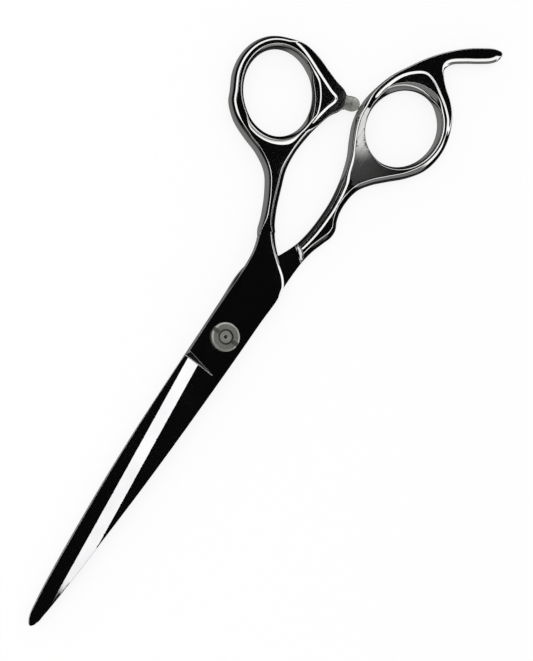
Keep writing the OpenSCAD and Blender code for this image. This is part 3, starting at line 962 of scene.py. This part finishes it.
# ---------------------------------------------------------------- floor
floor_mesh = bpy.data.meshes.new("floor")
floor_mesh.from_pydata([(-3, -3, -0.0001), (3, -3, -0.0001), (3, 3, -0.0001), (-3, 3, -0.0001)], [],
                       [(0, 1, 2, 3)])
floor = bpy.data.objects.new("floor", floor_mesh)
bpy.context.scene.collection.objects.link(floor)
paper = bpy.data.materials.new("paper")
paper.use_nodes = True
tree = paper.node_tree
tree.nodes.clear()
surface = tree.nodes.new("ShaderNodeOutputMaterial")
mixer = tree.nodes.new("ShaderNodeMixShader")
mixer.inputs[0].default_value = 0.82
diffuse = tree.nodes.new("ShaderNodeBsdfDiffuse")
diffuse.inputs[0].default_value = (0.96, 0.96, 0.96, 1)
glow = tree.nodes.new("ShaderNodeEmission")
glow.inputs[0].default_value = (1, 1, 1, 1)
glow.inputs[1].default_value = 1.0
tree.links.new(diffuse.outputs[0], mixer.inputs[1])
tree.links.new(glow.outputs[0], mixer.inputs[2])
tree.links.new(mixer.outputs[0], surface.inputs[0])
floor_mesh.materials.append(paper)
floor.visible_glossy = False

# ---------------------------------------------------------------- studio
CAMERA = Vector((97.2, -82.4, 503.6)) * MM
TARGET = Vector((-8.4, 8.6, 2.62)) * MM
# From the part to the camera, and the camera's right and downward directions
VIEW = Vector((0.2031, -0.1751, 0.9634)).normalized()
RIGHT = Vector((-0.5425, 0.7990, 0.2595))
DOWN = Vector((0.815, 0.575, -0.067))
# Middle of what the flat faces mirror
FLAT_MIRROR = Vector((-VIEW.x, -VIEW.y, VIEW.z))

# Levels of the light that the steel mirrors
BRIGHT = 1.6
PALE = 0.8
DIM = 0.05
GREY_LOW = 0.27
GREY_DOWN = 0.26
DARK = 0.004

world = bpy.data.worlds.new("studio")
bpy.context.scene.world = world
world.use_nodes = True
wt = world.node_tree
wt.nodes.clear()
w_out = wt.nodes.new("ShaderNodeOutputWorld")
w_bg = wt.nodes.new("ShaderNodeBackground")
wt.links.new(w_bg.outputs[0], w_out.inputs[0])
w_dir = wt.nodes.new("ShaderNodeTexCoord").outputs["Generated"]


def mirror(point, normal):
    """Direction that a camera ray takes after it meets a point (mm) with that normal."""
    p = Vector(point) * MM
    v = (CAMERA - p).normalized()
    n = Vector(normal).normalized()
    return (2 * n.dot(v) * n - v).normalized()


def along(vec):
    """Cosine of the angle between the ray and a direction."""
    n = wt.nodes.new("ShaderNodeVectorMath")
    n.operation = "DOT_PRODUCT"
    wt.links.new(w_dir, n.inputs[0])
    n.inputs[1].default_value = tuple(vec)
    return n.outputs["Value"]


def between(value, lo, hi, edge):
    """1 between lo and hi, with soft edges."""
    up = ranged(wt, value, lo - edge, lo + edge, 0, 1, "SMOOTHSTEP")
    down = ranged(wt, value, hi - edge, hi + edge, 1, 0, "SMOOTHSTEP")
    return calc(wt, "MULTIPLY", up, down)


def cosd(a):
    return math.cos(math.radians(a))


def softbox(centre, half_u, half_v, u_axis, edge):
    """Rectangular light round a direction; sizes are sines of angles."""
    c = Vector(centre).normalized()
    u = Vector(u_axis)
    u = (u - c * u.dot(c)).normalized()
    area = calc(wt, "MULTIPLY", between(along(u), -half_u, half_u, edge),
                between(along(c.cross(u)), -half_v, half_v, edge))
    return calc(wt, "MULTIPLY", area, ranged(wt, along(c), 0.0, 0.2, 0, 1))


def strip(start, end, normal, extra, half_v, edge):
    """Softbox that shows as a strip between two points of a surface."""
    a, b = mirror(start, normal), mirror(end, normal)
    return softbox((a + b) / 2, (b - a).length / 2 + extra, half_v, b - a, edge)


def brightest(level, other):
    return calc(wt, "MAXIMUM", level, other)


# A pale ring round the view, narrower for the slopes that face down the frame
depth = along(FLAT_MIRROR)
downward = ranged(wt, along(DOWN), 0.5, 0.7, 0, 1, "SMOOTHSTEP")
ring_wide = between(depth, cosd(92), cosd(58), 0.02)
ring_slim = between(depth, cosd(70), cosd(58), 0.02)
ring_light = calc(wt, "ADD", calc(wt, "MULTIPLY", ring_wide, calc(wt, "SUBTRACT", 1.0, downward)),
                  calc(wt, "MULTIPLY", ring_slim, downward))
# The wall of the studio beyond the tips is dark
tipward = ranged(wt, along(Vector((0.976, -0.217, 0))), 0.84, 0.9, 1, 0, "SMOOTHSTEP")
ring_light = calc(wt, "MULTIPLY", ring_light, tipward)
# Grey low down, more of it on the left, and it starts higher for slopes that face down the frame
grey_low = calc(wt, "MULTIPLY", ranged(wt, depth, cosd(124), cosd(112), 1, 0, "SMOOTHSTEP"),
                ranged(wt, along(-RIGHT), 0.0, 0.42, 0.15, 1, "SMOOTHSTEP"))
grey_down = calc(wt, "MULTIPLY", between(depth, cosd(106), cosd(75), 0.03), downward)

# The long highlight on the front blade's middle facet, and two weak ones on the finger ring's face
FLAT = (0, 0, 1)
band = strip((9, -3, 3.8), (86, 2, 3.8), (0.0, -0.295, 1), 0.04, math.sin(math.radians(3.1)), 0.004)
pale = strip((-61.5, 1.6, TOTAL), (-76, -3.4, TOTAL), FLAT, 0, 0.006, 0.005)
dim = strip((-52, 5.5, TOTAL), (-63, 1, TOTAL), FLAT, 0, 0.016, 0.014)
light = brightest(ring_light, band)
light = brightest(light, calc(wt, "MULTIPLY", pale, PALE))
light = brightest(light, calc(wt, "MULTIPLY", dim, DIM))
glossy = calc(wt, "MULTIPLY", light, BRIGHT)
for grey, share in ((grey_low, GREY_LOW), (grey_down, GREY_DOWN)):
    glossy = calc(wt, "ADD", glossy, calc(wt, "MULTIPLY", grey, share))
glossy = calc(wt, "ADD", glossy, DARK)
# Mirrored rays see all this; the rest of the light comes evenly from a white surrounding
is_glossy = wt.nodes.new("ShaderNodeLightPath").outputs["Is Glossy Ray"]
level = calc(wt, "ADD", calc(wt, "MULTIPLY", glossy, is_glossy), calc(wt, "SUBTRACT", 1.0, is_glossy))
wt.links.new(level, w_bg.inputs["Strength"])

LAMP_AT = Vector((0.15, -0.25, 0.7))
lamp = bpy.data.lights.new("overhead", "AREA")
lamp.energy = 1.6
lamp.size = 0.6
lamp_o = bpy.data.objects.new("overhead", lamp)
lamp_o.location = LAMP_AT
lamp_o.rotation_euler = LAMP_AT.to_track_quat("Z", "Y").to_euler()
lamp_o.visible_glossy = False
bpy.context.scene.collection.objects.link(lamp_o)

# ---------------------------------------------------------------- camera
cam = bpy.data.cameras.new("camera")
cam.sensor_width = 36
cam.lens = 108.506505
cam.clip_start = 0.01
cam.clip_end = 20
cam_o = bpy.data.objects.new("camera", cam)
bpy.context.scene.collection.objects.link(cam_o)
back = (CAMERA - TARGET).normalized()
right = (RIGHT - back * RIGHT.dot(back)).normalized()
axes = Matrix((right, back.cross(right), back)).transposed().to_4x4()
cam_o.matrix_world = Matrix.Translation(CAMERA) @ axes
bpy.context.scene.camera = cam_o
bpy.context.scene.view_settings.view_transform = "Standard"
